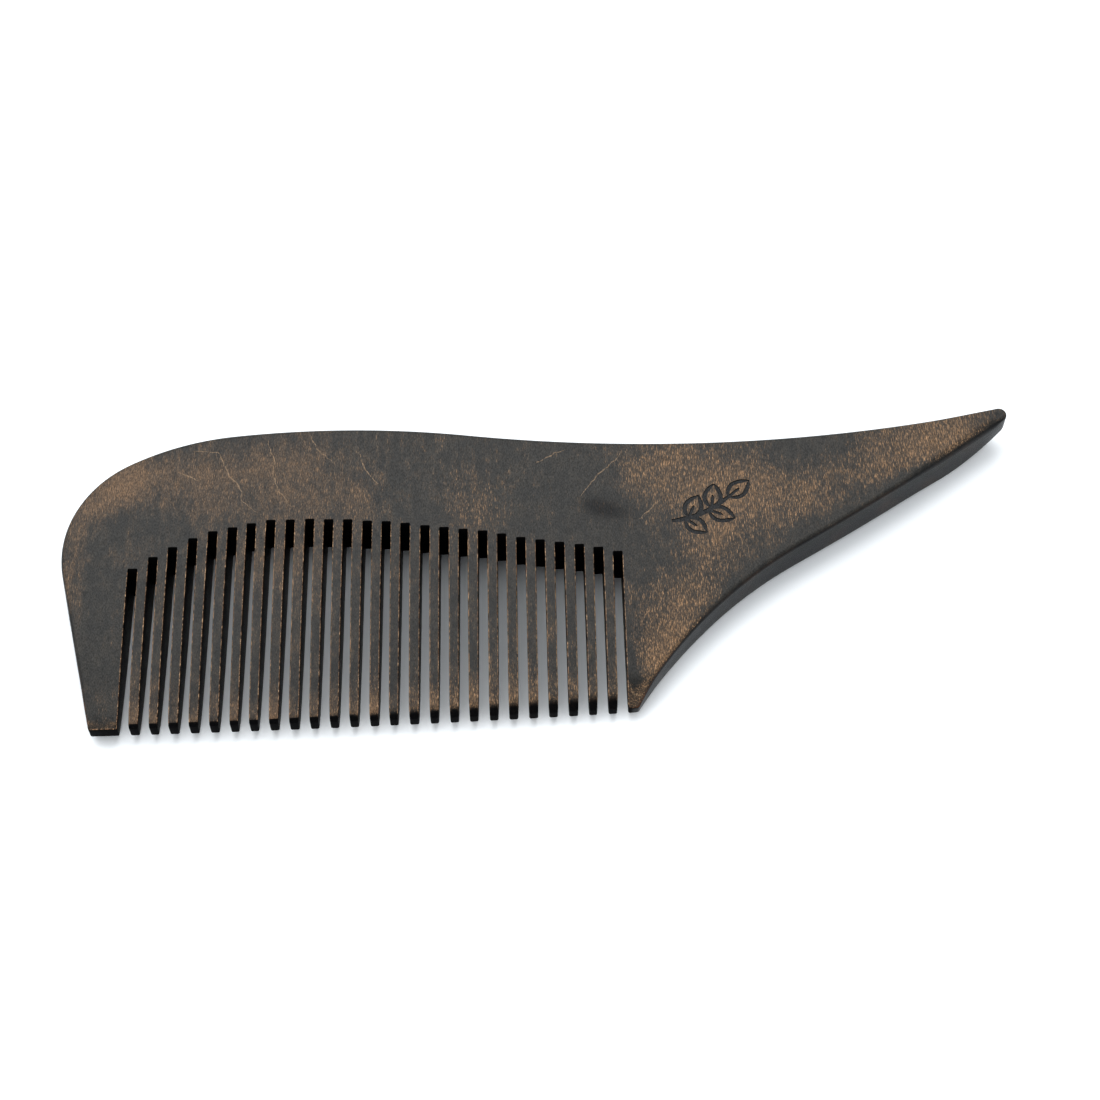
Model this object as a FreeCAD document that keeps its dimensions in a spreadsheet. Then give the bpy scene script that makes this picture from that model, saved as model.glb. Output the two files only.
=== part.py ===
import FreeCAD, Part
import math
import os
import Sketcher

# A one-piece wooden beard comb with a humped spine, a row of fine teeth between two guard teeth,
# and a tail handle that tapers to a small rounded end.
#
# The comb lies flat. X runs along the row of teeth towards the tail, Y runs from the tooth tips to
# the spine, and Z is up. While it is being drawn, X = 0 is the middle of the first slot and Y = 0
# is a line just below the tips. Every piece is then moved so that the origin is under the middle of
# the comb, at the face that it rests on.
#
# The real comb is cut from one board. It is divided here, face to face, into the spine, the handle,
# the two guard teeth and the fine teeth, so that the gaps between the teeth stay open.

TOOTH_COUNT = 25
SLOT_COUNT = TOOTH_COUNT + 1

# An edge whose box is narrower than this, in millimetres, counts as running straight across it.
NO_WIDTH = 0.01

# Name, value in millimetres or degrees, and meaning.
SIZES = [
    ("board_thick", 8.4, "thickness of the board at the spine and the handle"),
    ("tooth_pitch", 3.5, "spacing of the slots along the row"),
    ("slot_wide_tip", 1.82, "slot width at the tooth tips"),
    ("slot_wide_root", 1.56, "slot width at the crest of the roots"),
    ("crest_x", 28.5, "where the line of slot ends is highest"),
    ("crest_y", 40.2, "height of that highest slot end above the tips"),
    ("front_root_radius", 42.0, "bend of the line of slot ends, front of the crest"),
    ("rear_root_slope", 0.222, "final fall of the line of slot ends, rear of the crest"),
    ("rear_root_blend", 32.0, "length over which that fall builds up"),
    ("foot_x", -6.0, "outer corner of the front guard, along the row"),
    ("foot_y", 0.2, "outer corner of the front guard, above the tip line"),
    ("guard_lean", 102.7, "direction of the front guard's outer side, degrees"),
    ("guard_side", 30.0, "straight length of that side"),
    ("shoulder_radius", 21.4, "bend from the front guard into the hump"),
    ("shoulder_turn", 73.8, "turn of the shoulder, degrees"),
    ("brow_radius", 50.0, "bend above the shoulder"),
    ("brow_turn", 22.7, "turn of that bend, degrees"),
    ("hump_radius", 180.0, "bend of the hump's long top"),
    ("hump_turn", 13.9, "turn of the hump's top, degrees"),
    ("saddle_radius", 290.0, "hollow bend of the spine, from the hump to the tail's end"),
    ("saddle_turn", 19.815, "turn of the hollow, degrees"),
    ("nose_radius", 1.4, "rounding of the tail's end, seen from above"),
    ("nose_turn", 156.357, "turn around the tail's end, degrees"),
    ("belly_radius", 580.0, "full bend of the handle's lower edge near the tail's end"),
    ("belly_turn", 4.758, "turn of that bend, degrees"),
    ("throat_radius", 92.0, "hollow bend from the handle into the rear guard"),
    ("throat_turn", 26.9, "turn of the hollow, degrees"),
    ("heel_level", 4.0, "height above the tip line that only tips and foot corners lie below"),
    ("tip_line_radius", 2500.0, "slight bow of the line of tooth tips"),
    ("tip_low", 1.4, "height of the underside at the tips"),
    ("tip_high", 4.4, "height of the upper face at the tips"),
    ("upper_taper_start", 44.0, "where the upper face starts to fall towards the tips"),
    ("lower_taper_start", 24.0, "where the underside starts to rise towards the tips"),
    ("nose_sweep_start", 148.8, "where the tail's underside starts to sweep up to its end"),
    ("nose_sweep_end", 162.3, "where that sweep ends, just past the tail"),
    ("nose_lift", 5.0, "height of the swept underside there"),
    ("arris_radius", 1.0, "rounding of the long edges of the spine and the handle"),
    ("tail_joint_x", 100.0, "where the handle is divided from the spine"),
    ("centre_x", 74.3, "middle of the whole comb, from the first slot"),
    ("centre_y", 31.5, "middle of the whole comb, above the tip line"),
    ("margin", 20.0, "how far the shapes that divide the board reach past it"),
]


def slot_x(number):
    """The formula for the middle of a slot, counted from 1."""
    return "%d * tooth_pitch" % (number - 1)


def slot_end_formula(number):
    """The formula for the height of a slot's closed end."""
    away = "(%s - crest_x)" % slot_x(number)
    front = "crest_y - %s ^ 2 / (2 * front_root_radius)" % away
    blend = "sqrt(%s ^ 2 + rear_root_blend ^ 2) - rear_root_blend" % away
    rear = "crest_y - rear_root_slope * (%s)" % blend
    return "=%s < 0 ? %s : %s" % (away, front, rear)


def make_sheet(doc):
    """The spreadsheet that drives every dimension."""
    sheet = doc.addObject("Spreadsheet::Sheet", "Sizes")
    row = 1
    for name, value, meaning in SIZES:
        sheet.set("A%d" % row, meaning)
        sheet.set("B%d" % row, str(value))
        sheet.setAlias("B%d" % row, name)
        row += 1
    for number in range(1, SLOT_COUNT + 1):
        sheet.set("A%d" % row, "closed end of slot %d" % number)
        sheet.set("B%d" % row, slot_end_formula(number))
        sheet.setAlias("B%d" % row, "slot_end_%02d" % number)
        row += 1
    doc.recompute()
    return sheet


def plane_of(body, role):
    """One of the body's own origin planes."""
    for feature in body.Origin.OriginFeatures:
        if feature.Role == role:
            return feature
    raise RuntimeError("no plane " + role)


def new_sketch(body, name, role):
    """An empty sketch on one of the body's origin planes."""
    sketch = body.newObject("Sketcher::SketchObject", name)
    sketch.AttachmentSupport = [(plane_of(body, role), "")]
    sketch.MapMode = "FlatFace"
    return sketch


class Outline:
    """Lines and arcs that run on from each other without a corner."""

    def __init__(self, sketch, sheet):
        self.sketch = sketch
        self.sheet = sheet
        self.point = FreeCAD.Vector(sheet.foot_x, sheet.foot_y, 0)
        self.heading = math.radians(sheet.guard_lean)
        self.last = None

    def bind(self, constraint, name):
        """Adds a dimension that follows a cell of the sheet."""
        index = self.sketch.addConstraint(constraint)
        self.sketch.renameConstraint(index, name)
        unit = " * 1 deg" if constraint.Type == "Angle" else ""
        self.sketch.setExpression("Constraints." + name, "Sizes." + name + unit)

    def join(self, index, start):
        """Makes a new piece run on from the one before."""
        if self.last is not None:
            old, end = self.last
            self.sketch.addConstraint(Sketcher.Constraint("Tangent", old, end, index, start))

    def line(self, length_name):
        length = getattr(self.sheet, length_name)
        step = FreeCAD.Vector(math.cos(self.heading), math.sin(self.heading), 0)
        end = self.point + step * length
        index = self.sketch.addGeometry(Part.LineSegment(self.point, end), False)
        self.join(index, 1)
        self.bind(Sketcher.Constraint("Distance", index, length), length_name)
        self.point = end
        self.last = (index, 2)
        return index

    def arc(self, name, side):
        """An arc that turns left (side 1) or right (side -1)."""
        radius = getattr(self.sheet, name + "_radius")
        turn = math.radians(getattr(self.sheet, name + "_turn"))
        across = FreeCAD.Vector(-math.sin(self.heading), math.cos(self.heading), 0)
        middle = self.point + across * (radius * side)
        angle_in = self.heading - side * math.pi / 2
        angle_out = angle_in + side * turn
        circle = Part.Circle(middle, FreeCAD.Vector(0, 0, 1), radius)
        if side > 0:
            curve = Part.ArcOfCircle(circle, angle_in, angle_out)
        else:
            curve = Part.ArcOfCircle(circle, angle_out, angle_in)
        index = self.sketch.addGeometry(curve, False)
        start, end = (1, 2) if side > 0 else (2, 1)
        self.join(index, start)
        self.bind(Sketcher.Constraint("Radius", index, radius), name + "_radius")
        self.bind(Sketcher.Constraint("Angle", index, turn), name + "_turn")
        out = FreeCAD.Vector(math.cos(angle_out), math.sin(angle_out), 0)
        self.point = middle + out * radius
        self.heading += side * turn
        self.last = (index, end)
        return index


def draw_outline(body, sheet):
    """The comb seen from above, with a slightly bowed line across the tips."""
    sketch = new_sketch(body, "outline", "XY_Plane")
    outline = Outline(sketch, sheet)
    foot = outline.point
    side = outline.line("guard_side")
    outline.arc("shoulder", -1)
    outline.arc("brow", -1)
    outline.arc("hump", -1)
    outline.arc("saddle", 1)
    outline.arc("nose", -1)
    outline.arc("belly", -1)
    last = outline.arc("throat", 1)
    heel = outline.point
    bow = sheet.tip_line_radius
    half = (heel - foot) * 0.5
    drop = math.sqrt(bow ** 2 - half.Length ** 2)
    up = FreeCAD.Vector(-half.y, half.x, 0).normalize()
    middle = foot + half + up * drop
    start_angle = math.atan2(foot.y - middle.y, foot.x - middle.x)
    end_angle = math.atan2(heel.y - middle.y, heel.x - middle.x)
    circle = Part.Circle(middle, FreeCAD.Vector(0, 0, 1), bow)
    tips = sketch.addGeometry(Part.ArcOfCircle(circle, start_angle, end_angle), False)
    sketch.addConstraint(Sketcher.Constraint("Coincident", tips, 1, side, 1))
    sketch.addConstraint(Sketcher.Constraint("Coincident", tips, 2, last, 2))
    outline.bind(Sketcher.Constraint("Radius", tips, bow), "tip_line_radius")
    outline.bind(Sketcher.Constraint("DistanceX", -1, 1, side, 1, foot.x), "foot_x")
    outline.bind(Sketcher.Constraint("DistanceY", -1, 1, side, 1, foot.y), "foot_y")
    outline.bind(Sketcher.Constraint("Angle", side, math.radians(sheet.guard_lean)), "guard_lean")
    return sketch


def draw_face_cut(body, name, role, points, bend, formulas):
    """A closed profile that takes a gently curved slice off the board's upper or lower face.

    The curve leaves the face at points[0] without a corner and ends at points[1]. The rest of the
    profile lies outside the board, at the level of points[2]. bend is 1 where the curve rises and
    -1 where it falls. formulas give the place and the level of the curve's start, the place and
    the level of its end, and the level outside the board.
    """
    start, end, outside = points
    sketch = new_sketch(body, name, role)
    rise = abs(end.y - start.y)
    run = abs(end.x - start.x)
    radius = (rise ** 2 + run ** 2) / (2 * rise)
    middle = start + FreeCAD.Vector(0, bend * radius, 0)
    circle = Part.Circle(middle, FreeCAD.Vector(0, 0, 1), radius)
    angle_start = math.atan2(start.y - middle.y, start.x - middle.x)
    angle_end = math.atan2(end.y - middle.y, end.x - middle.x)
    anticlockwise = (end.x - start.x) * bend > 0
    if anticlockwise:
        curve = Part.ArcOfCircle(circle, angle_start, angle_end)
    else:
        curve = Part.ArcOfCircle(circle, angle_end, angle_start)
    at_start, at_end = (1, 2) if anticlockwise else (2, 1)
    low_end = FreeCAD.Vector(end.x, outside.y, 0)
    low_start = FreeCAD.Vector(start.x, outside.y, 0)
    arc = sketch.addGeometry(curve, False)
    drop = sketch.addGeometry(Part.LineSegment(end, low_end), False)
    along = sketch.addGeometry(Part.LineSegment(low_end, low_start), False)
    back = sketch.addGeometry(Part.LineSegment(low_start, start), False)
    sketch.addConstraint(Sketcher.Constraint("Coincident", arc, at_end, drop, 1))
    sketch.addConstraint(Sketcher.Constraint("Coincident", drop, 2, along, 1))
    sketch.addConstraint(Sketcher.Constraint("Coincident", along, 2, back, 1))
    sketch.addConstraint(Sketcher.Constraint("Coincident", back, 2, arc, at_start))
    sketch.addConstraint(Sketcher.Constraint("Vertical", drop))
    sketch.addConstraint(Sketcher.Constraint("Vertical", back))
    sketch.addConstraint(Sketcher.Constraint("Horizontal", along))
    sketch.addConstraint(Sketcher.Constraint("Vertical", arc, at_start, arc, 3))
    places = [
        ("DistanceX", back, 2, start.x, "start_along", formulas[0]),
        ("DistanceY", back, 2, start.y, "start_level", formulas[1]),
        ("DistanceX", drop, 1, end.x, "end_along", formulas[2]),
        ("DistanceY", drop, 1, end.y, "end_level", formulas[3]),
        ("DistanceY", along, 1, outside.y, "outside", formulas[4]),
    ]
    for kind, line, vertex, value, label, formula in places:
        index = sketch.addConstraint(Sketcher.Constraint(kind, -1, 1, line, vertex, value))
        sketch.renameConstraint(index, label)
        sketch.setExpression("Constraints." + label, formula)
    return sketch


def cut_through(body, sketch, name):
    """Takes a profile away right through the board, and checks that it removed material."""
    before = body.Shape.Volume
    pocket = body.newObject("PartDesign::Pocket", name)
    pocket.Profile = sketch
    pocket.Type = "ThroughAll"
    pocket.Midplane = True
    body.Document.recompute()
    if not body.Shape.Volume < before:
        raise RuntimeError(name + " removed nothing")
    return pocket


def runs_along_side(edge, sheet):
    """Whether an edge is one of the long arrises of the spine, the handle or a guard's outer side."""
    box = edge.BoundBox
    upright = box.XLength < NO_WIDTH and box.YLength < NO_WIDTH
    straight_across = box.YLength < NO_WIDTH and box.XLength > sheet.tooth_pitch
    on_tips = box.YMax < sheet.heel_level
    return not (upright or straight_across or on_tips)


def make_board(doc, sheet):
    """The whole comb without its slots."""
    body = doc.addObject("PartDesign::Body", "board")
    pad = body.newObject("PartDesign::Pad", "thickness")
    pad.Profile = draw_outline(body, sheet)
    pad.setExpression("Length", "Sizes.board_thick")
    doc.recompute()

    vector = FreeCAD.Vector
    upper_points = [
        vector(sheet.upper_taper_start, sheet.board_thick, 0),
        vector(0, sheet.tip_high, 0),
        vector(0, sheet.board_thick + sheet.margin, 0),
    ]
    upper_formulas = ["Sizes.upper_taper_start", "Sizes.board_thick", "0", "Sizes.tip_high",
                      "Sizes.board_thick + Sizes.margin"]
    upper = draw_face_cut(body, "upper_taper", "YZ_Plane", upper_points, -1, upper_formulas)
    cut_through(body, upper, "upper_taper_cut")

    lower_points = [
        vector(sheet.lower_taper_start, 0, 0),
        vector(0, sheet.tip_low, 0),
        vector(0, -sheet.margin, 0),
    ]
    lower_formulas = ["Sizes.lower_taper_start", "0", "0", "Sizes.tip_low", "-Sizes.margin"]
    lower = draw_face_cut(body, "lower_taper", "YZ_Plane", lower_points, 1, lower_formulas)
    taper = cut_through(body, lower, "lower_taper_cut")

    edges = []
    for number, edge in enumerate(taper.Shape.Edges, 1):
        if runs_along_side(edge, sheet):
            edges.append("Edge%d" % number)
    rounding = body.newObject("PartDesign::Fillet", "arris")
    rounding.Base = (taper, edges)
    rounding.setExpression("Radius", "Sizes.arris_radius")
    doc.recompute()

    sweep_points = [
        vector(sheet.nose_sweep_start, 0, 0),
        vector(sheet.nose_sweep_end, sheet.nose_lift, 0),
        vector(sheet.nose_sweep_end, -sheet.margin, 0),
    ]
    sweep_formulas = ["Sizes.nose_sweep_start", "0", "Sizes.nose_sweep_end", "Sizes.nose_lift",
                      "-Sizes.margin"]
    sweep = draw_face_cut(body, "nose_sweep", "XZ_Plane", sweep_points, 1, sweep_formulas)
    cut_through(body, sweep, "nose_sweep_cut")
    return body


def block(doc, name, low, high, low_y, high_y):
    """A shape that reaches above and below the board.

    low and high hold the formulas for its two sides, each at low_y and then at high_y.
    """
    wedge = doc.addObject("Part::Wedge", name)
    cells = {
        "Xmin": low[0], "X2min": low[1], "Xmax": high[0], "X2max": high[1],
        "Ymin": low_y, "Ymax": high_y,
        "Zmin": "-Sizes.margin", "Zmax": "Sizes.margin",
        "Z2min": "-Sizes.margin", "Z2max": "Sizes.margin",
    }
    for cell, formula in cells.items():
        wedge.setExpression(cell, formula)
    return wedge


def slot_side(number, side, level):
    """The formulas for one side of a slot, at the tips and at a level. side is - or +."""
    middle = "%d * Sizes.tooth_pitch %s " % (number - 1, side)
    narrowing = "(Sizes.slot_wide_tip - Sizes.slot_wide_root) * (%s) / Sizes.crest_y" % level
    return middle + "Sizes.slot_wide_tip / 2", middle + "(Sizes.slot_wide_tip - %s) / 2" % narrowing


def slot_end(number):
    return "Sizes.slot_end_%02d" % number


def place(piece, label):
    """Names a finished piece and moves it to the comb's own origin."""
    piece.Label = label
    piece.setExpression("Placement.Base.x", "-Sizes.centre_x")
    piece.setExpression("Placement.Base.y", "-Sizes.centre_y")
    return piece


def part_of_board(doc, board, shape, label):
    """The part of the board inside a shape, as a finished piece."""
    piece = doc.addObject("Part::Common", label)
    piece.Base = board
    piece.Tool = shape
    return place(piece, label)


def make_teeth(doc, board):
    """The fine teeth. Each ends at the lower of the two slots beside it."""
    teeth = []
    shapes = []
    for number in range(1, TOOTH_COUNT + 1):
        root = "min(%s; %s)" % (slot_end(number), slot_end(number + 1))
        left = slot_side(number, "+", root)
        right = slot_side(number + 1, "-", root)
        shape = block(doc, "tooth_space_%02d" % number, left, right, "0", root)
        shapes.append(shape)
        teeth.append(part_of_board(doc, board, shape, "tooth_%02d" % number))
    return teeth, shapes


def make_slots(doc):
    """The slots between the teeth, as far up as their closed ends."""
    slots = []
    for number in range(1, SLOT_COUNT + 1):
        left = slot_side(number, "-", slot_end(number))
        right = slot_side(number, "+", slot_end(number))
        slots.append(block(doc, "slot_%02d" % number, left, right, "0", slot_end(number)))
    return slots


def make_guards(doc, board):
    """The wide teeth at the two ends of the row."""
    front_low = ("-Sizes.margin", "-Sizes.margin")
    front_high = slot_side(1, "-", slot_end(1))
    front_shape = block(doc, "front_space", front_low, front_high, "0", slot_end(1))
    front = part_of_board(doc, board, front_shape, "front_guard")
    rear_low = slot_side(SLOT_COUNT, "+", slot_end(SLOT_COUNT))
    rear_high = ("2 * Sizes.centre_x", "2 * Sizes.centre_x")
    rear_shape = block(doc, "rear_space", rear_low, rear_high, "0", slot_end(SLOT_COUNT))
    rear = part_of_board(doc, board, rear_shape, "rear_guard")
    return [front, rear], [front_shape, rear_shape]


def make_handle(doc, board):
    """The tail handle, from the joint plane to the rounded end."""
    low = ("Sizes.tail_joint_x", "Sizes.tail_joint_x")
    high = ("2 * Sizes.centre_x + Sizes.margin", "2 * Sizes.centre_x + Sizes.margin")
    top = "2 * Sizes.centre_y + Sizes.margin"
    shape = block(doc, "tail_space", low, high, slot_end(SLOT_COUNT), top)
    return part_of_board(doc, board, shape, "tail_handle"), shape


def make_back(doc, board, spaces):
    """The humped spine: what is left of the board once all the other pieces are taken away."""
    taken = doc.addObject("Part::MultiFuse", "all_other_spaces")
    taken.Shapes = spaces
    back = doc.addObject("Part::Cut", "comb_back")
    back.Base = board
    back.Tool = taken
    return place(back, "comb_back")


def check(doc, pieces):
    """Stops if anything is broken or a piece is not one solid. Returns the pieces' volume."""
    for item in doc.Objects:
        if "Invalid" in item.State or "Error" in item.State:
            raise RuntimeError("%s is %s" % (item.Name, item.State))
        shape = getattr(item, "Shape", None)
        if shape is not None and (shape.isNull() or not shape.isValid()):
            raise RuntimeError(item.Name + " has a bad shape")
    total = 0
    for piece in pieces:
        if len(piece.Shape.Solids) != 1:
            raise RuntimeError("%s has %d solids" % (piece.Label, len(piece.Shape.Solids)))
        total += piece.Shape.Volume
    return total


def main():
    doc = FreeCAD.newDocument("beard_comb")
    sheet = make_sheet(doc)
    board = make_board(doc, sheet)
    teeth, tooth_shapes = make_teeth(doc, board)
    guards, guard_shapes = make_guards(doc, board)
    handle, handle_shape = make_handle(doc, board)
    slots = make_slots(doc)
    back = make_back(doc, board, tooth_shapes + guard_shapes + [handle_shape] + slots)
    pieces = [back, handle] + guards + teeth
    doc.recompute()
    total = check(doc, pieces)

    os.makedirs("parts", exist_ok=True)
    box = FreeCAD.BoundBox()
    for piece in pieces:
        piece.Shape.exportStep("parts/%s.step" % piece.Label)
        box.add(piece.Shape.BoundBox)
    print("pieces", len(pieces), "volume %.0f of %.0f" % (total, board.Shape.Volume))
    print("whole comb", box)


main()
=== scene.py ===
import math
import random

import bpy
import numpy as np
from mathutils import Matrix, Vector
from mathutils.geometry import delaunay_2d_cdt


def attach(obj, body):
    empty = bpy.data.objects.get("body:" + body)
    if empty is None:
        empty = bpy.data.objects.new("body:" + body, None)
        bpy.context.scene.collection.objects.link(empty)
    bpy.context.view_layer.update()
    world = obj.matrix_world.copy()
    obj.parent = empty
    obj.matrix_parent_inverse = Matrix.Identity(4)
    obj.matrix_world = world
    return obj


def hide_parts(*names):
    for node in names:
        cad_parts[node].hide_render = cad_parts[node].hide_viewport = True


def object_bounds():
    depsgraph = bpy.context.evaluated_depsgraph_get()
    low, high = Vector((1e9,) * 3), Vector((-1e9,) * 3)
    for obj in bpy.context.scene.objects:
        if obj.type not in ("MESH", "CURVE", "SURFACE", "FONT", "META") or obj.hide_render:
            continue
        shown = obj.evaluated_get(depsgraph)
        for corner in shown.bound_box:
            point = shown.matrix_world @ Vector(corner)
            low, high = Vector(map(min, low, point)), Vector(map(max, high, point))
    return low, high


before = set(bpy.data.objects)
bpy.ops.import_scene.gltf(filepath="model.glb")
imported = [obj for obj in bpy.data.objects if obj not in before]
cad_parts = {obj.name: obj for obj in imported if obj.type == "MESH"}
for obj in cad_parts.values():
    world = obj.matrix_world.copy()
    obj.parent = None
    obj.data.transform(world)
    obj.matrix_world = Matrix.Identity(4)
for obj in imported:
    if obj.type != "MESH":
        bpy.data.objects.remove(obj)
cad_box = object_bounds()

# A one-piece wooden beard comb, stained black and worn through to brown.
#
# The CAD divides the comb into its spine, handle, guards and teeth. Here it is one seamless piece.
# Lengths are in millimetres. While the mesh is made, X = 0 is the first slot's middle and Y = 0 is
# just below the tooth tips, and at the end the mesh is moved to the comb's own origin.

# ---------------------------------------------------------------- sizes, as in the CAD source

MM = 0.001
THICK = 8.4
PITCH = 3.5
TEETH = 25
SLOTS = TEETH + 1
SLOT_TIP, SLOT_ROOT = 1.82, 1.56
CREST_X, CREST_Y = 28.5, 40.2
FRONT_ROOT_RADIUS = 42.0
REAR_ROOT_SLOPE, REAR_ROOT_BLEND = 0.222, 32.0
CENTRE_X, CENTRE_Y = 74.3, 31.5
FOOT = (-6.0, 0.2)
GUARD_LEAN, GUARD_SIDE = 102.7, 30.0
UPPER_START, LOWER_START = 44.0, 24.0
TIP_LOW, TIP_HIGH = 1.4, 4.4
NOSE_START, NOSE_END, NOSE_LIFT = 148.8, 162.3, 5.0
TIP_LINE_RADIUS = 2500.0

# radius, turn in degrees and side of each bend, from the front guard to the rear guard's heel
BENDS = [
    (21.4, 73.8, -1),      # shoulder
    (50.0, 22.7, -1),      # brow
    (180.0, 13.9, -1),     # hump
    (290.0, 19.815, 1),    # saddle
    (1.4, 156.357, -1),    # end of the tail
    (580.0, 4.758, -1),    # belly
    (92.0, 26.9, 1),       # throat
]

# ---------------------------------------------------------------- sizes of the finer shape

EDGE_STEP = 0.9                    # spacing of the points along the outer edge
WALL_STEP = 1.25                   # spacing of the points up a slot's wall
FACE_STEP = 1.3                    # spacing of the points on the faces
FACE_MARGIN = 0.55                 # how far those points stay from the edges
ARRIS, SLOT_ARRIS, ROOT_ARRIS = 0.85, 0.2, 0.12
TIP_CORNER, ROOT_CORNER = 0.3, 0.14      # radii seen from above
SLOT_SHIFT = 0.1
FLARE, FLARE_LONG = 0.09, 3.2      # how much, and over what length, a slot widens at its mouth
ROOT_LEAN, ROOT_LEAN_LONG = 0.9, 4.0     # how a slot's closed end leans, and the walls beside it
BEVEL_LONG, BEVEL_DEEP, BEVEL_GROWS = 0.35, 0.25, 1.15
HEEL_LONG, HEEL_DEEP = 2.4, 0.5    # how much more the rear guard's heel slopes
SINK = 0.16                        # depth of the burned mark

rng = random.Random(7)


def smooth(a, b, x):
    """0 at a and 1 at b, with a soft start and end."""
    t = np.clip((x - a) / (b - a), 0.0, 1.0)
    return t * t * (3 - 2 * t)


# ---------------------------------------------------------------- the comb's two faces

def bend(run, length, rise):
    """Rise, after a run, of an arc that starts level and rises by rise over length."""
    radius = (length ** 2 + rise ** 2) / (2 * rise)
    return radius - np.sqrt(radius ** 2 - run ** 2)


def upper(y):
    """Height of the upper face, which falls towards the tips."""
    return THICK - bend(np.clip(UPPER_START - y, 0, None), UPPER_START, THICK - TIP_HIGH)


def lower(x, y):
    """Height of the underside, which rises towards the tips and towards the tail's end."""
    to_tips = bend(np.clip(LOWER_START - y, 0, None), LOWER_START, TIP_LOW)
    length = NOSE_END - NOSE_START
    to_tail = bend(np.clip(x - NOSE_START, 0, length), length, NOSE_LIFT)
    return np.maximum(to_tips, to_tail)


# ---------------------------------------------------------------- the outline from above

def outer_side():
    """The outline from the front guard's foot over the spine, round the tail, to the rear guard."""
    x, y = FOOT
    heading = math.radians(GUARD_LEAN)
    across, along = math.cos(heading) * GUARD_SIDE, math.sin(heading) * GUARD_SIDE
    count = int(GUARD_SIDE / EDGE_STEP)
    points = [(x + across * k / count, y + along * k / count) for k in range(count)]
    x += across
    y += along
    for radius, degrees, side in BENDS:
        turn = math.radians(degrees)
        count = max(int(radius * turn / EDGE_STEP), 12)
        middle_x = x - math.sin(heading) * radius * side
        middle_y = y + math.cos(heading) * radius * side
        for k in range(count + 1):
            a = heading + side * turn * k / count
            x = middle_x + math.sin(a) * radius * side
            y = middle_y - math.cos(a) * radius * side
            if k < count:
                points.append((x, y))
        heading += side * turn
    points.append((x, y))
    return points


outer = outer_side()
HEEL = outer[-1]
TAIL_POINT = max(range(len(outer)), key=lambda k: outer[k][0])


def tip_line(x):
    """The slightly bowed line across the tips."""
    length = HEEL[0] - FOOT[0]
    t = (x - FOOT[0]) / length
    return FOOT[1] + (HEEL[1] - FOOT[1]) * t - t * (1 - t) * length ** 2 / (2 * TIP_LINE_RADIUS)


def slot_end(x):
    """The curved line on which the slots end."""
    away = x - CREST_X
    if away < 0:
        return CREST_Y - away ** 2 / (2 * FRONT_ROOT_RADIUS)
    return CREST_Y - REAR_ROOT_SLOPE * (math.sqrt(away ** 2 + REAR_ROOT_BLEND ** 2) - REAR_ROOT_BLEND)


def bevel(x):
    """How far the slope on a tooth's end reaches back from the tip, and how deep it goes."""
    grow = smooth(20.0, 86.0, x)
    return BEVEL_LONG + BEVEL_GROWS * grow, BEVEL_DEEP + BEVEL_GROWS * grow


def corner(before, point, after, radius, count):
    """Points round a corner of the given radius."""
    p = np.array(point)
    a = np.array(before) - p
    b = np.array(after) - p
    a /= np.linalg.norm(a)
    b /= np.linalg.norm(b)
    half = math.acos(max(-1, min(1, float(a @ b)))) / 2
    reach = radius / math.tan(half)
    centre = p + (a + b) / np.linalg.norm(a + b) * radius / math.sin(half)
    start = p + a * reach - centre
    end = p + b * reach - centre
    first = math.atan2(start[1], start[0])
    turn = (math.atan2(end[1], end[0]) - first + math.pi) % (2 * math.pi) - math.pi
    angles = [first + turn * k / count for k in range(count + 1)]
    return [(centre[0] + radius * math.cos(a), centre[1] + radius * math.sin(a)) for a in angles]


def uneven_slots():
    """The slots, each a little out of place, out of width and out of line."""
    made = []
    for number in range(SLOTS):
        x = number * PITCH
        made.append({
            "x": x + SLOT_SHIFT + rng.uniform(-0.07, 0.07),
            "end": slot_end(x) + rng.uniform(-0.18, 0.18),
            "wide": rng.uniform(-0.03, 0.08),
            "lean": rng.uniform(-0.05, 0.05),
        })
    return made


slots = uneven_slots()


def wall(slot, y, side):
    """X of a slot's wall at a level. side is -1 for its left wall and 1 for its right one."""
    level = y / CREST_Y
    half = (SLOT_TIP - (SLOT_TIP - SLOT_ROOT) * level + slot["wide"]) / 2
    near_tip = float(np.clip((FLARE_LONG - (y - tip_line(slot["x"]))) / FLARE_LONG, 0, 1))
    half += FLARE * near_tip ** 1.6
    return slot["x"] + slot["lean"] * (1 - level) + side * half


def mouth(slot, side):
    """The corner where a slot's wall meets the line of tips."""
    low = tip_line(wall(slot, tip_line(slot["x"]), side))
    return wall(slot, low, side), low


def wall_run(slot, side):
    """Points up a slot's wall, closer together near the tip."""
    low, high = mouth(slot, side)[1], slot["end"]
    reach = bevel(slot["x"])[0]
    first = 0.62 * reach if reach > 0.6 else 0.62
    levels = [low + first, low + reach + 0.35, low + reach + 1.0, low + 3.2]
    count = int((high - low - 5.0) / WALL_STEP)
    for k in range(count + 1):
        levels.append(low + 4.4 + (high - low - 5.2) * k / count)
    return [(wall(slot, y, side), y) for y in levels]


# x, y, radius of the upper arris, radius of the lower one, how far the upper arris is rubbed bare,
# 1 in the slots, and how far the lower edge leans back
outline = []


def add(points, radius, rub=0.9, end=None, in_slot=1.0):
    """Adds points along the tips and slots. end is the level of the slot's closed end."""
    first = len(outline)
    for x, y in points:
        lean = 0.0 if end is None else ROOT_LEAN * float(smooth(end - ROOT_LEAN_LONG, end, y))
        outline.append((x, y, radius, radius, rub, in_slot, lean))
    return first


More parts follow.
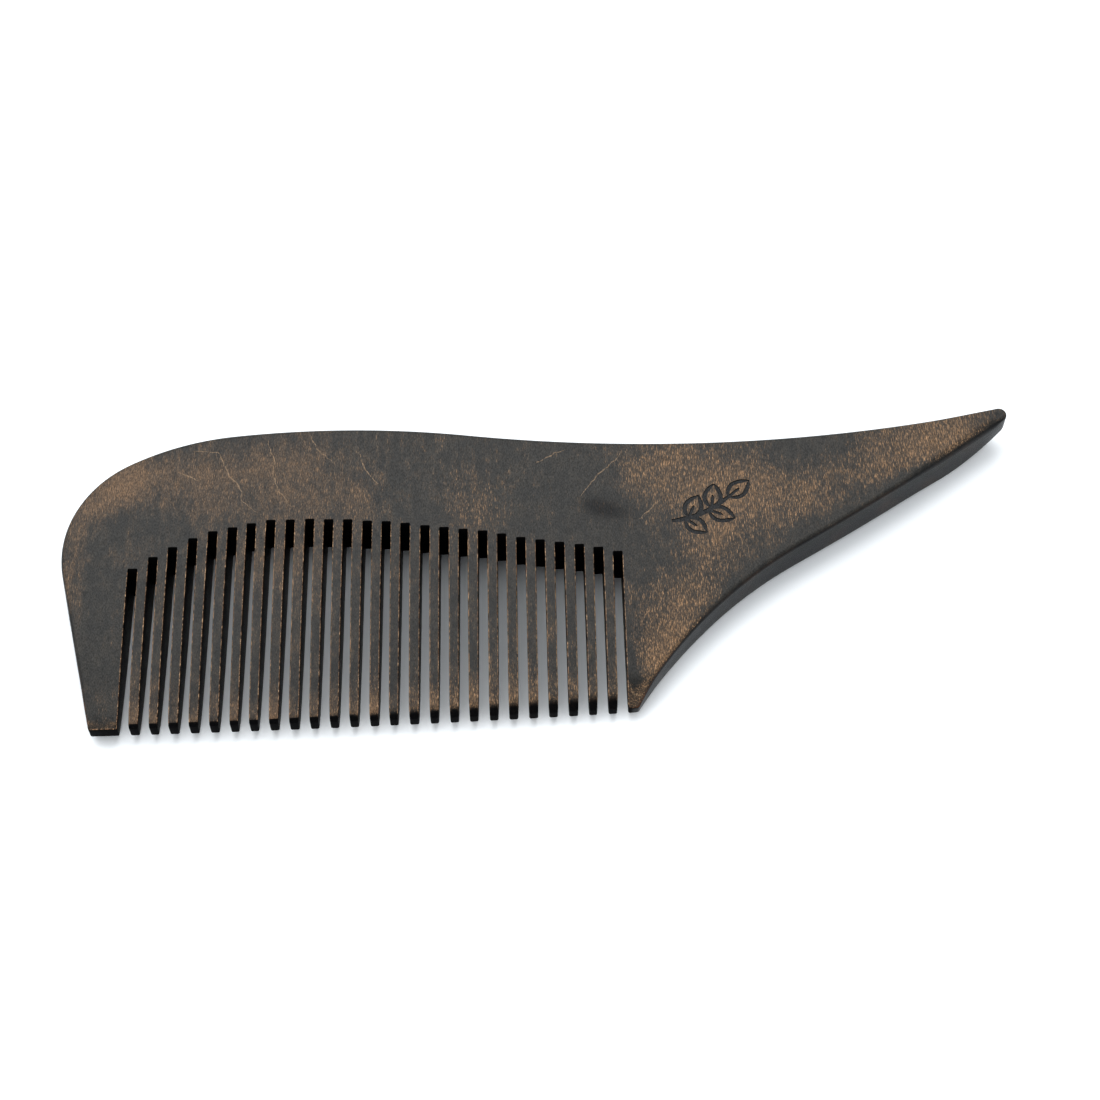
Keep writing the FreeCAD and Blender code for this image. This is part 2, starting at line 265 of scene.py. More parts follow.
def add_outer_edge():
    """Adds the outer edge. Its arris is small at the tips and tail, and large along the belly."""
    for k, (x, y) in enumerate(outer[1:-1], 1):
        radius = ARRIS - 0.5 * float(smooth(9.0, 3.0, y)) - 0.38 * float(smooth(146.0, 158.0, x))
        under = radius
        rub = 0.12 + 0.6 * float(smooth(24.0, 8.0, y))
        if k > TAIL_POINT:
            radius += 1.25 * float(smooth(138.0, 157.5, x) * smooth(161.2, 158.6, x))
            under += 0.75 * float(smooth(96.0, 110.0, x) * smooth(152.0, 142.0, x))
            rub = 0.45 + 0.55 * float(smooth(18.0, 6.0, y)) - 0.4 * float(smooth(136.0, 150.0, x))
        outline.append((x, y, radius, under, rub, 0.0, 0.0))


def add_heel():
    """Adds the rear guard's lowest corner."""
    edge = wall(slots[-1], tip_line(slots[-1]["x"]), 1)
    add(corner(outer[-4], HEEL, (edge, tip_line(edge)), 0.7, 4), 0.3, 1.0, in_slot=0.0)


def add_slot(number):
    """Adds the outline up the right wall of a slot, across its closed end and down its left wall."""
    slot = slots[number]
    end = slot["end"]
    up, down = wall_run(slot, 1), wall_run(slot, -1)[::-1]
    root_right, root_left = (wall(slot, end, 1), end), (wall(slot, end, -1), end)

    right = mouth(slot, 1)
    before = (right[0] + 1.0, tip_line(right[0] + 1.0))
    after = (wall(slot, right[1] + 1, 1), right[1] + 1)
    rub = 0.7 if number == SLOTS - 1 else 0.1
    add(corner(before, right, after, TIP_CORNER, 3), SLOT_ARRIS, rub)

    slot["up"] = add(up, SLOT_ARRIS, end=end)
    add(corner(up[-1], root_right, root_left, ROOT_CORNER, 2), ROOT_ARRIS, 0.0, end)
    add(corner(root_right, root_left, down[0], ROOT_CORNER, 2), ROOT_ARRIS, 0.0, end)
    slot["down"] = add(down, SLOT_ARRIS, end=end) + len(down) - 1

    left = mouth(slot, -1)
    before = (wall(slot, left[1] + 1, -1), left[1] + 1)
    after = (left[0] - 1.0, tip_line(left[0] - 1.0))
    rub = 0.9 if number == 0 else 0.1
    add(corner(before, left, after, TIP_CORNER, 3), SLOT_ARRIS, rub)


def add_foot():
    """Adds the front guard's end, from the first slot to the guard's outer corner."""
    start = mouth(slots[0], -1)[0]
    add([(x, tip_line(x)) for x in (start - 1.6, start - 3.0)], SLOT_ARRIS)
    add(corner((-4.0, tip_line(-4.0)), FOOT, outer[1], 0.35, 3), 0.22)


add_outer_edge()
add_heel()
for number in reversed(range(SLOTS)):
    add_slot(number)
add_foot()

# pairs of outline points between which an edge crosses each tooth, where its end's slope begins
crossings = [(right["down"] - 1, left["up"] + 1) for left, right in zip(slots[:-1], slots[1:])]

xy = np.array([point[:2] for point in outline])
arris, under, rubbed, in_slot, lean = np.array([point[2:] for point in outline]).T
N = len(xy)


def mitres():
    """Outward directions. The outline runs clockwise, so outside is on the left."""
    ahead = np.roll(xy, -1, axis=0) - xy
    ahead /= np.linalg.norm(ahead, axis=1)[:, None]
    side = np.stack([-ahead[:, 1], ahead[:, 0]], 1)
    side_before = np.roll(side, 1, axis=0)
    return (side + side_before) / (1 + np.sum(side * side_before, axis=1))[:, None]


mitre = mitres()

# ---------------------------------------------------------------- strokes on the upper face

def sideways(points):
    """Directions at right angles to a run of points."""
    d = np.gradient(points, axis=0)
    d /= np.linalg.norm(d, axis=1)[:, None]
    return np.stack([-d[:, 1], d[:, 0]], 1)


def strip(points, width, ends=(0.25, 0.25)):
    """A stroke with tapered ends, as a closed polygon."""
    t = np.linspace(0, 1, len(points))
    half = width / 2 * (ends[0] + (1 - ends[0]) * smooth(0, 0.18, t))
    half = half * (ends[1] + (1 - ends[1]) * smooth(1, 0.82, t))
    side = sideways(points) * half[:, None]
    return np.concatenate([points - side, (points + side)[::-1]])


SPRIG_AT = (105.2, 42.2)
STROKE = 0.95

# point of the stem, degrees away from the stem's direction, length and width of each leaf
LEAVES = [
    (5, 52, 5.2, 3.0), (4, -50, 4.9, 2.8), (12, 50, 5.3, 3.0), (11, -52, 5.1, 2.9), (17, 2, 5.4, 3.0),
]


def leaf(base, angle, length, width):
    """The two sides of a leaf's outline, and its short midrib."""
    t = np.linspace(0, 1, 11)
    bulge = width / 2 * np.sin(np.pi * t ** 0.85)
    rib = np.linspace(0.0, 0.55, 6) * length
    c, s = math.cos(angle), math.sin(angle)
    runs = [(t * length, bulge), (t * length, -bulge), (rib, 0 * rib)]
    return [np.stack([base[0] + c * x - s * y, base[1] + s * x + c * y], 1) for x, y in runs]


def sprig():
    """The strokes of a generic burned sprig: a stem with five leaves."""
    t = np.linspace(0, 1, 19)
    stem = np.stack([-7.6 + 11.2 * t, -3.8 + 5.4 * t - 1.2 * np.sin(np.pi * t)], 1)
    strokes = [strip(stem, STROKE, (0.7, 0.6))]
    for at, away, length, width in LEAVES:
        ahead = stem[at + 1] - stem[at - 1]
        angle = math.atan2(ahead[1], ahead[0]) + math.radians(away)
        one, two, rib = leaf(stem[at], angle, length, width)
        strokes.append(strip(one, STROKE * 0.85))
        strokes.append(strip(two, STROKE * 0.85))
        strokes.append(strip(rib, STROKE * 0.6, (0.6, 0.3)))
    return [stroke + SPRIG_AT for stroke in strokes]


# pale lines in the wood's figure, and the bare line along the rear guard's heel
FIGURE = [
    [(9.5, 55.4), (13.9, 55.0), (15.3, 53.0), (16.6, 49.9), (18.4, 47.6), (19.3, 44.1), (22.0, 41.6)],
    [(23.2, 57.6), (24.6, 52.6), (24.8, 47.9), (28.0, 42.8)],
    [(31.2, 58.4), (32.3, 55.5), (35.5, 52.3)],
    [(40.1, 54.7), (41.1, 51.5), (43.8, 47.5)],
    [(89.0, 53.6), (87.8, 51.8), (84.7, 48.8), (82.7, 46.5), (81.2, 44.0)],
    [(78.4, 54.2), (76.5, 53.6), (73.9, 51.7)],
    [(92.1, 39.3), (94.0, 41.2), (95.9, 43.1)],
    [(7.2, 50.7), (9.2, 49.8), (11.4, 48.5)],
]
HEEL_LINE = [(89.0, 6.3), (89.2, 5.6), (89.6, 5.15), (90.4, 5.05), (91.4, 5.25), (91.9, 5.7)]


def pale_line(line, stray, width):
    """A wavering line, as its middle row of points and the rows on both sides of it."""
    points = []
    for (ax, ay), (bx, by) in zip(line[:-1], line[1:]):
        count = max(int(math.hypot(bx - ax, by - ay) / 0.7), 2)
        for k in range(count):
            points.append((ax + (bx - ax) * k / count, ay + (by - ay) * k / count))
    points.append(line[-1])
    p = np.array([(x + rng.uniform(-stray, stray), y + rng.uniform(-0.1, 0.1)) for x, y in points])
    wide = width * np.sin(np.linspace(0.25, math.pi - 0.25, len(p)))[:, None]
    side = sideways(p) * wide
    return p, p + side, p - side


def pale_lines():
    return [pale_line(line, 0.24, 0.24) for line in FIGURE] + [pale_line(HEEL_LINE, 0.04, 0.34)]


# ---------------------------------------------------------------- mesh

verts = []        # x, y, z
facts = []        # arris wear, burned mark, in a slot, pale line
faces = []


def ring(inset, depth, face, wear):
    """One ring of vertices just inside the outline. face is 1 for the upper one, -1 for the lower."""
    p = xy - mitre * inset[:, None]
    if face > 0:
        z = upper(p[:, 1]) - depth
    else:
        p[:, 1] -= lean
        z = lower(p[:, 0], p[:, 1]) + depth
    first = len(verts)
    for (x, y), height, amount, deep in zip(p, z, wear, in_slot):
        verts.append([x, y, height])
        facts.append([amount, 0.0, deep, 0.0])
    return first


# angle round the arris, wear on a wide arris, wear on a narrow one
ARRIS_STEPS = [
    (0.0, 0.0, 0.35), (20.0, 0.10, 0.8), (36.0, 0.35, 1.0), (46.0, 1.0, 1.0), (56.0, 0.35, 0.9),
    (72.0, 0.05, 0.5), (90.0, 0.0, 0.15),
]


def rounding(face):
    """The rings round one arris, from the face to the wall."""
    radius = arris if face > 0 else under
    none = 0 * radius
    rings = [ring(np.where(radius > 0.25, radius + 0.22, radius + 0.1), none, face, none)]
    wide = smooth(0.3, 0.7, radius)
    for degrees, wide_wear, narrow_wear in ARRIS_STEPS:
        a = math.radians(degrees)
        wear = rubbed * (wide * wide_wear + (1 - wide) * narrow_wear)
        rings.append(ring(radius * (1 - math.sin(a)), radius * (1 - math.cos(a)), face, wear))
    return rings


def middle_ring(top, low):
    """The ring half way down the walls, a quarter of the way to where the lower edge leans."""
    first = len(verts)
    for i in range(N):
        a, b = verts[top + i], verts[low + i]
        verts.append([a[0] * 0.75 + b[0] * 0.25, a[1] * 0.75 + b[1] * 0.25, (a[2] + b[2]) / 2])
        facts.append([0.0, 0.0, in_slot[i], 0.0])
    return first


def join(a, b):
    """The band of faces between two rings."""
    for i in range(N):
        j = (i + 1) % N
        faces.append([a + i, a + j, b + j, b + i])


def inside(points, polygon):
    """Which of the points lie inside the polygon."""
    x, y = points[:, 0], points[:, 1]
    hit = np.zeros(len(points), bool)
    for (ax, ay), (bx, by) in zip(polygon, np.roll(polygon, -1, axis=0)):
        if ay == by:
            continue
        crossed = (ay > y) != (by > y)
        hit ^= crossed & (x < (bx - ax) * (y - ay) / (by - ay) + ax)
    return hit


def triangular(low, high):
    """A triangular grid of points in a box."""
    points = []
    y = low[1]
    row = 0
    while y < high[1]:
        x = low[0] + (FACE_STEP / 2 if row % 2 else 0)
        while x < high[0]:
            points.append((x, y))
            x += FACE_STEP
        y += FACE_STEP * 0.866
        row += 1
    return points


def fill(polygon):
    """Points over the spine, the handle and the two guards, well inside the polygon."""
    low, high = polygon.min(0), polygon.max(0)
    spine_level, guard_level = 24.0, 1.6
    points = []
    for x, y in triangular((low[0], spine_level), high):
        points.append((x + rng.uniform(-0.12, 0.12), y + rng.uniform(-0.12, 0.12)))
    for left, right in ((-12.0, -1.2), (88.6, 112.0)):
        points += triangular((left, guard_level), (right, spine_level))
    points = np.array(points)
    points = points[inside(points, polygon)]
    away = [np.min(np.hypot(polygon[:, 0] - x, polygon[:, 1] - y)) for x, y in points]
    return points[np.array(away) > FACE_MARGIN]


def sink(triangle, sunk, sides):
    """A burned triangle's sunk corners. Its sides are noted, to find the mark's border."""
    for k in triangle:
        if k not in sunk:
            sunk[k] = len(verts)
            x, y, z = verts[k]
            verts.append([x, y, z - SINK])
            facts.append([0.0, 1.0, 0.0, 0.0])
    sides += zip(triangle, triangle[1:] + triangle[:1])
    return [sunk[k] for k in triangle]


def cap(first, face, marks, lines):
    """Fills the space inside a ring, sinks the marks into it and lays the pale lines in it."""
    loop = np.array([verts[first + i][:2] for i in range(N)])
    coords = [Vector(p) for p in loop] + [Vector(p) for p in fill(loop)]
    edges = list(crossings)
    polygons = [list(range(N))[::-1]]
    for mark in marks:
        polygons.append(list(range(len(coords), len(coords) + len(mark))))
        coords += [Vector(p) for p in mark]
    pale = set()
    for rows in lines:
        pale.update(range(len(coords), len(coords) + len(rows[0])))
        for row in rows:
            edges += [(k, k + 1) for k in range(len(coords), len(coords) + len(row) - 1)]
            coords += [Vector(p) for p in row]
    cut = delaunay_2d_cdt(coords, edges, polygons, 1, 1e-7, True)
    points, _, triangles, sources, _, owners = cut

    vertex_of = []
    for (x, y), source in zip(points, sources):
        on_ring = [k for k in source if k < N]
        if on_ring:
            vertex_of.append(first + on_ring[0])
            continue
        vertex_of.append(len(verts))
        verts.append([x, y, float(upper(y) if face > 0 else lower(x, y))])
        facts.append([0.0, 0.0, 0.0, float(any(k in pale for k in source))])

    sunk = {}
    sides = []
    for triangle, owner in zip(triangles, owners):
        if 0 not in owner:
            continue
        triangle = [vertex_of[k] for k in triangle]
        if any(polygon > 0 for polygon in owner):
            triangle = sink(triangle, sunk, sides)
        faces.append(triangle if face > 0 else triangle[::-1])
    shared = set(sides)
    for a, b in sides:
        if (b, a) not in shared:
            faces.append([a, b, sunk[b], sunk[a]])


top_rings = rounding(1)
low_rings = rounding(-1)
rings = top_rings + [middle_ring(top_rings[-1], low_rings[-1])] + low_rings[::-1]
for a, b in zip(rings[:-1], rings[1:]):
    join(a, b)
cap(top_rings[0], 1, sprig(), pale_lines())
cap(low_rings[0], -1, [], [])

# points inside a sunk stroke are no longer part of any face
used = sorted({k for face in faces for k in face})
place_of = {k: n for n, k in enumerate(used)}
faces = [[place_of[k] for k in face] for face in faces]
co = np.array(verts)[used]
arris_wear, burned, in_slots, pale = np.array(facts)[used].T
X, Y, Z = co.T

# ---------------------------------------------------------------- the slope on each tooth's end

in_row = (X > -7) & (X < 93)
heel = smooth(88.0, 88.5, X) * (Y < 12.0)
past = Y - tip_line(X)
reach, depth = bevel(X)
near = np.clip(1 - (past - 0.35) / (reach + HEEL_LONG * heel), 0, 1.3)
above = np.clip((Z - (upper(Y) + lower(X, Y)) / 2) / 1.5, 0, 1)
Z -= np.where(in_row, near * (depth + HEEL_DEEP * heel) * above, 0)
slope = np.where(in_row, smooth(0.0, 0.25, near), 0) * (above > 0.3)
slope = slope * (1 - heel) * smooth(-0.4, 0.4, X)

# ---------------------------------------------------------------- where the stain is worn

# amount, middle, half width and half height in millimetres, and turn in degrees. Less than 0 is
# where the stain is darker.
WEAR = [
    (0.62, -5, 46, 9, 3.5, 42), (0.34, -11, 31, 3, 12, -5), (0.28, 14, 52, 18, 4.5, 8),
    (0.26, 10, 44, 8, 4, -15), (0.34, 31, 47, 16, 8, 0), (0.26, 61, 42, 5.5, 6.5, 0),
    (0.22, 26, 31, 10, 8, 0), (0.33, 97, 51, 9, 5.5, 10), (0.62, 108, 45, 13, 8, 10),
    (0.30, 123, 43, 7, 5, 30), (0.40, 105, 35, 6, 8, -20), (0.42, 136, 50, 8, 4.5, 25),
    (0.65, 149, 54, 9, 4.5, 30), (0.80, 95.3, 13, 4.6, 10, -25), (0.18, 104, 25, 5, 6, 0),
    (-0.20, 76, 44, 8, 9, 0), (-0.12, 53, 46, 5, 8, 0), (-0.30, 123, 54, 8, 3, 10),
    (-0.12, -1, 39, 6, 5, 0), (-0.18, 87, 30, 6, 12, 0), (-0.15, -6, 16, 4, 12, 0),
    (-0.60, 89.3, 7.5, 1.8, 4.0, 0), (0.28, 140, 57, 14, 3.5, 9), (0.2, 92, 22, 3, 6, 0),
]


def patch_at(x, y, wide, high, turn):
    """A soft oval patch: 1 in its middle, falling to 0."""
    c, s = math.cos(math.radians(turn)), math.sin(math.radians(turn))
    u = (c * (X - x) + s * (Y - y)) / wide
    v = (-s * (X - x) + c * (Y - y)) / high
    return np.exp(-(u * u + v * v))


def tooth_wear():
    """Wear on the teeth's ends, different on each, and strongest in the middle of the row."""
    amounts = np.array([rng.uniform(0.15, 1.0) for _ in range(TEETH)])
    tooth = np.clip(np.round(X / PITCH - 0.5), 0, TEETH - 1).astype(int)
    favour = 0.55 + 0.55 * np.exp(-((X - 47.0) / 24.0) ** 2)
    teeth = in_row * smooth(-0.6, 0.6, X) * smooth(88.6, 87.6, X)
    return amounts[tooth] * favour * np.exp(-(np.clip(past, 0, None) / 5.5) ** 2) * teeth


def foot_wear():
    """A bare band just above the front guard's end."""
    band = np.exp(-((np.clip(past, 0, None) - 0.7) / 0.5) ** 2)
    return 0.5 * band * smooth(-0.6, -1.2, X) * in_row


def belly_shade():
    """A dark band on the face along the handle's lower edge."""
    edge = xy[(xy[:, 0] > 100.0) & (np.arange(N) >= TAIL_POINT)]
    away = np.array([np.min(np.hypot(edge[:, 0] - x, edge[:, 1] - y)) for x, y in zip(X, Y)])
    return 0.5 * np.exp(-(away / 1.7) ** 2) * smooth(98.0, 112.0, X) * smooth(154.0, 144.0, X)


worn = 0.10 + sum(amount * patch_at(*patch) for amount, *patch in WEAR)
worn = np.clip(worn + tooth_wear() + foot_wear(), 0, 1)
worn = np.clip(worn + 0.5 * heel * smooth(0.05, 0.3, near) - belly_shade(), 0, 1)
# painted shade: a soft dark patch near the burned mark that stands in for the shading of a shallow
# dent, which the mesh doesn't have
painted_dent_shade = patch_at(86.3, 40.9, 4.2, 1.9, -8) + 0.6 * patch_at(83.5, 42.3, 2.5, 1.6, -20)

# ---------------------------------------------------------------- the object

mesh = bpy.data.meshes.new("comb")
mesh.from_pydata(((co - (CENTRE_X, CENTRE_Y, 0.0)) * MM).tolist(), [], faces)
assert not mesh.validate(), "the comb's mesh needed repair"
layers = {
    "arris": arris_wear, "mark": burned, "inner": in_slots, "figure": pale,
    "worn": worn, "slope": slope, "crisp": smooth(15.0, 80.0, X), "painted_dent_shade": painted_dent_shade,
}
for name, values in layers.items():
    attribute = mesh.attributes.new(name, "FLOAT", "POINT")
    attribute.data.foreach_set("value", np.asarray(values, np.float32))
mesh.shade_smooth()
mesh.set_sharp_from_angle(angle=math.radians(42))
comb = bpy.data.objects.new("comb_wood", mesh)
bpy.context.scene.collection.objects.link(comb)
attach(comb, "root")
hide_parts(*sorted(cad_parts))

# ---------------------------------------------------------------- material

class Nodes:
    """A small helper that adds shader nodes and joins them."""

    def __init__(self, name):
        self.material = bpy.data.materials.new(name)
        self.material.use_nodes = True
        self.tree = self.material.node_tree
        self.tree.nodes.clear()

    def add(self, kind, **values):
        node = self.tree.nodes.new(kind)
        for key, value in values.items():
            setattr(node, key, value)
        return node

    def feed(self, socket, value):
        if isinstance(value, bpy.types.NodeSocket):
            self.tree.links.new(value, socket)
        else:
            socket.default_value = value

    def math(self, operation, a, b, clamp=False):
        node = self.add("ShaderNodeMath", operation=operation, use_clamp=clamp)
        self.feed(node.inputs[0], a)
        self.feed(node.inputs[1], b)
        return node.outputs[0]

    def plus(self, a, b):
        return self.math("ADD", a, b)

    def minus(self, a, b):
        return self.math("SUBTRACT", a, b)

    def times(self, a, b):
        return self.math("MULTIPLY", a, b)

    def swing(self, value, size):
        """A noise that swings about 0 instead of about a half."""
        return self.times(self.minus(value, 0.5), size)

    def mix(self, amount, a, b, kind="MIX"):
        node = self.add("ShaderNodeMix", data_type="RGBA", blend_type=kind)
        self.feed(node.inputs[0], amount)
        self.feed(node.inputs[6], a)
        self.feed(node.inputs[7], b)
        return node.outputs[2]

    def ramp(self, value, low, high, out_low=0.0, out_high=1.0):
        """A soft step from out_low, where value is low, to out_high, where it is high."""
        node = self.add("ShaderNodeMapRange", interpolation_type="SMOOTHSTEP", clamp=True)
        self.feed(node.inputs[0], value)
        self.feed(node.inputs[1], low)
        self.feed(node.inputs[2], high)
        self.feed(node.inputs[3], out_low)
        self.feed(node.inputs[4], out_high)
        return node.outputs[0]

    def noise(self, place, stretch, detail, rough, distort=0.0, shift=(0, 0, 0)):
        """Noise over the piece's own coordinates. stretch is in features per millimetre."""
        mapping = self.add("ShaderNodeMapping")
        self.feed(mapping.inputs[0], place)
        mapping.inputs[1].default_value = shift
        mapping.inputs[3].default_value = [s / MM for s in stretch]
        node = self.add("ShaderNodeTexNoise")
        self.feed(node.inputs["Vector"], mapping.outputs[0])
        node.inputs["Scale"].default_value = 1.0
        node.inputs["Detail"].default_value = detail
        node.inputs["Roughness"].default_value = rough
        node.inputs["Distortion"].default_value = distort
        return node.outputs[0]

    def attribute(self, name):
        return self.add("ShaderNodeAttribute", attribute_name=name).outputs["Fac"]

    def finish(self, shader):
        out = self.add("ShaderNodeOutputMaterial")
        self.feed(out.inputs[0], shader.outputs[0])
        return self.material


def rgb(r, g, b):
    return (r, g, b, 1.0)


STAIN, STAIN_THIN = rgb(0.0150, 0.0152, 0.0144), rgb(0.026, 0.0247, 0.0220)
# colour of the painted dent shade
DENT_SHADE_COLOUR = rgb(0.008, 0.0085, 0.009)
# near-black painted shade for the walls in the slots and the slopes at the teeth's ends
NEAR_BLACK_SHADE = rgb(0.0040, 0.0042, 0.0048)
EDGE, EDGE_CLOUD, EDGE_PATCH = (
    rgb(0.0035, 0.0041, 0.0046), rgb(0.019, 0.0118, 0.0080), rgb(0.016, 0.0102, 0.0072),
)
WASH, WASH_CRISP = rgb(0.088, 0.056, 0.033), rgb(0.056, 0.039, 0.025)
BARE, BARE_PALE = rgb(0.090, 0.057, 0.033), rgb(0.272, 0.170, 0.096)
FIGURE_PALE = rgb(0.235, 0.16, 0.096)
TAN, TAN_PALE, TAN_OUTER = rgb(0.16, 0.088, 0.048), rgb(0.50, 0.335, 0.205), rgb(0.11, 0.052, 0.027)
BURNED = rgb(0.017, 0.018, 0.0195)


def wood_with_painted_shade():
    n = Nodes("worn_black_stain_and_painted_shade")
    place = n.add("ShaderNodeTexCoord").outputs["Object"]
    mark, slope, inner = n.attribute("mark"), n.attribute("slope"), n.attribute("inner")
    crisp, painted_dent_shade = n.attribute("crisp"), n.attribute("painted_dent_shade")

    # flat is 1 on the comb's two faces and 0 on its edges, and slot_shade_and_tip_slopes is 1 on the
    # walls in the slots and on the slopes at the teeth's ends, which get near-black painted shade
    normal = n.add("ShaderNodeNewGeometry").outputs["Normal"]
    split = n.add("ShaderNodeSeparateXYZ")
    n.feed(split.inputs[0], normal)
    flat = n.ramp(n.math("ABSOLUTE", split.outputs[2], 0.0), 0.55, 0.95)
    slot_shade_and_tip_slopes = n.math("MAXIMUM", n.times(n.minus(1.0, flat), inner), slope)
    flat = n.times(flat, n.minus(1.0, slope))

    streak = n.noise(place, (7.0, 0.8, 7.0), 2.0, 0.55)
    fleck = n.noise(place, (7.5, 0.85, 7.5), 2.0, 0.6, 0.2, shift=(3, 7, 1))
    fibre = n.noise(place, (8.5, 2.6, 8.5), 2.0, 0.6, shift=(2, 9, 4))
    long_streak = n.noise(place, (1.1, 0.085, 1.1), 3.0, 0.6, shift=(8, 3, 5))
    cloud = n.noise(place, (0.10, 0.075, 0.10), 3.0, 0.55, shift=(11, 5, 2))
    patch = n.noise(place, (0.50, 0.26, 0.50), 3.0, 0.6, 0.4, shift=(4, 1, 9))
    dashes = n.noise(place, (2.2, 1.5, 2.2), 4.0, 0.75, shift=(6, 2, 3))

    # how much bare wood shows, in fine flecks
    grain = n.plus(n.times(streak, 0.5), n.times(fleck, 0.5))
    amount = n.plus(n.attribute("worn"), n.swing(cloud, 0.6))
    amount = n.plus(amount, n.swing(patch, 0.7))
    amount = n.math("ADD", amount, n.swing(long_streak, 0.5), clamp=True)
    amount = n.times(amount, flat)
    threshold = n.minus(0.60, n.times(amount, 0.14))
    bare = n.ramp(n.minus(grain, threshold), -0.07, 0.12)
    bare = n.times(bare, n.ramp(amount, 0.0, 0.40, 0.08, 1.0))
    bare = n.times(bare, n.ramp(crisp, 0.0, 1.0, 0.5, 1.0))

    # the stain, with the painted dent shade and the painted slot shade laid over it
    stain_and_shade = n.mix(n.ramp(patch, 0.35, 0.65), STAIN, STAIN_THIN)
    # painted shade of the shallow dent: the stain is darker there
    stain_and_shade = n.mix(painted_dent_shade, stain_and_shade, DENT_SHADE_COLOUR)
    edge = n.mix(n.ramp(cloud, 0.46, 0.66), EDGE, EDGE_CLOUD)
    edge = n.mix(n.ramp(patch, 0.52, 0.72, 0.0, 0.6), edge, EDGE_PATCH)
    stain_and_shade = n.mix(flat, edge, stain_and_shade)
    # painted shade: the walls in the slots and the slopes at the teeth's ends are made near black
    stain_and_shade = n.mix(slot_shade_and_tip_slopes, stain_and_shade, NEAR_BLACK_SHADE)
    tinted = n.mix(n.ramp(amount, 0.05, 1.0), stain_and_shade, n.mix(crisp, WASH, WASH_CRISP))
    brown = n.mix(n.ramp(fleck, 0.42, 0.66), BARE, BARE_PALE)
    color = n.mix(bare, tinted, brown)

    # pale wandering lines in the wood, a little broken
    line = n.ramp(n.attribute("figure"), 0.15, 0.95)
    line = n.times(line, n.ramp(fleck, 0.38, 0.56, 0.1, 0.8))
    color = n.mix(line, color, FIGURE_PALE)

    # edges rubbed through to bare wood, in dots and dashes
    rubbed = n.times(n.ramp(n.attribute("arris"), 0.25, 0.95), n.ramp(dashes, 0.42, 0.60, 0.05, 1.0))
    rubbed = n.times(rubbed, n.minus(1.0, slope))
    tan = n.mix(n.ramp(fleck, 0.4, 0.65), TAN, TAN_PALE)
    color = n.mix(rubbed, color, n.mix(inner, TAN_OUTER, tan))
    color = n.mix(mark, color, BURNED)

    # fine fibres, lighter and darker
    color = n.mix(1.0, color, n.ramp(fibre, 0.30, 0.70, 0.55, 1.45), "MULTIPLY")

    rough = n.plus(n.ramp(bare, 0.0, 1.0, 0.46, 0.62), n.swing(patch, 0.18))
    rough = n.plus(rough, n.times(mark, 0.15))
    rough = n.minus(rough, n.times(n.minus(1.0, flat), 0.14))
    sheen = n.ramp(flat, 0.0, 1.0, 0.19, 0.24)
    sheen = n.times(sheen, n.ramp(fibre, 0.30, 0.70, 0.78, 1.22))
    # the sheen is lowered in the painted dent shade too
    sheen = n.times(sheen, n.ramp(painted_dent_shade, 0.0, 1.0, 1.0, 0.72))
    # painted shade: the sheen is almost taken away on the walls in the slots and the slopes at the
    # teeth's ends
    sheen = n.times(sheen, n.ramp(slot_shade_and_tip_slopes, 0.0, 1.0, 1.0, 0.05))

    bump = n.add("ShaderNodeBump")
    bump.inputs["Strength"].default_value = 0.55
    bump.inputs["Distance"].default_value = 0.08 * MM
    n.feed(bump.inputs["Height"], n.plus(n.times(streak, 0.6), n.times(fleck, 0.4)))

    shader = n.add("ShaderNodeBsdfPrincipled")
    shader.inputs["Specular IOR Level"].default_value = 0.24
    n.feed(shader.inputs["Base Color"], color)
    n.feed(shader.inputs["Roughness"], rough)
    n.feed(shader.inputs["Specular IOR Level"], sheen)
    n.feed(shader.inputs["Normal"], bump.outputs[0])
    return n.finish(shader)


comb.data.materials.append(wood_with_painted_shade())

# ---------------------------------------------------------------- floor and light

FLOOR_HALF = 3.0               # metres
FLOOR_GAP = 0.02 * MM          # keeps the floor clear of the comb's underside


def pale_floor():
    n = Nodes("pale_floor")
    shader = n.add("ShaderNodeBsdfPrincipled")
    shader.inputs["Base Color"].default_value = rgb(0.875, 0.91, 0.935)
    shader.inputs["Roughness"].default_value = 0.8
    shader.inputs["Specular IOR Level"].default_value = 0.1
    return n.finish(shader)


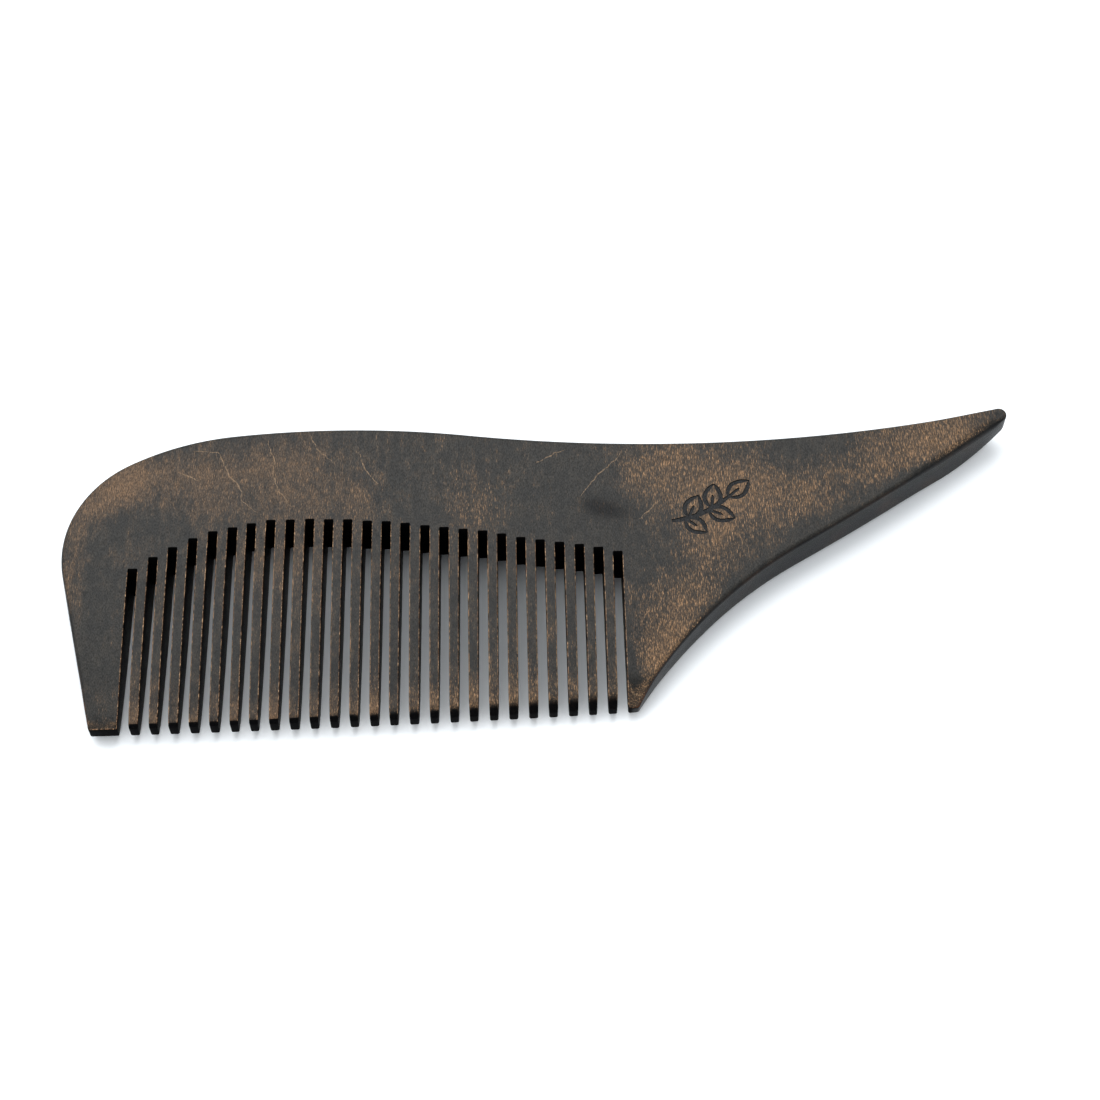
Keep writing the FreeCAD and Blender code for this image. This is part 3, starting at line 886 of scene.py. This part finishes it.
floor_mesh = bpy.data.meshes.new("floor")
floor_corners = [(x * FLOOR_HALF, y * FLOOR_HALF, 0) for x, y in ((-1, -1), (1, -1), (1, 1), (-1, 1))]
floor_mesh.from_pydata(floor_corners, [], [(0, 1, 2, 3)])
floor_mesh.materials.append(pale_floor())
floor = bpy.data.objects.new("floor", floor_mesh)
bpy.context.scene.collection.objects.link(floor)
floor.location.z = cad_box[0][2] - FLOOR_GAP

world = bpy.data.worlds.new("studio")
bpy.context.scene.world = world
world.use_nodes = True
background = world.node_tree.nodes["Background"]
background.inputs["Color"].default_value = rgb(0.985, 0.99, 1.0)
background.inputs["Strength"].default_value = 0.80


def soft_light(name, place, size, power):
    """A rectangular light, placed in metres, that points at the comb."""
    data = bpy.data.lights.new(name, "AREA")
    data.shape = "RECTANGLE"
    data.size, data.size_y = size
    data.energy = power
    light = bpy.data.objects.new(name, data)
    light.location = place
    light.rotation_euler = (-Vector(place)).to_track_quat("-Z", "Y").to_euler()
    bpy.context.scene.collection.objects.link(light)


soft_light("window", (-0.25, 0.6, 1.15), (1.8, 1.0), 15.5)
soft_light("front_window", (-0.8, -1.1, 0.7), (1.6, 0.8), 5.0)

# ---------------------------------------------------------------- camera

SENSOR = 36.0
LENS = 72.2291
DISTANCE = 403.9
ELEVATION, AZIMUTH = math.radians(59.0), math.radians(1.17)
AIM = Vector((21.53 * PITCH - CENTRE_X, 10.04 * PITCH - CENTRE_Y, THICK / 2))

camera_data = bpy.data.cameras.new("camera")
camera_data.sensor_width = SENSOR
camera_data.lens = LENS
camera_data.clip_start = 0.01
camera = bpy.data.objects.new("camera", camera_data)
bpy.context.scene.collection.objects.link(camera)
bpy.context.scene.camera = camera
level = math.cos(ELEVATION)
forward = Vector((math.sin(AZIMUTH) * level, math.cos(AZIMUTH) * level, -math.sin(ELEVATION)))
right = Vector((math.cos(AZIMUTH), -math.sin(AZIMUTH), 0.0))
turn = Matrix((right, right.cross(forward), -forward)).transposed()
camera.matrix_world = Matrix.Translation((AIM - forward * DISTANCE) * MM) @ turn.to_4x4()
bpy.context.scene.view_settings.view_transform = "Standard"
bpy.context.scene.view_settings.look = "Medium High Contrast"

bpy.context.view_layer.update()
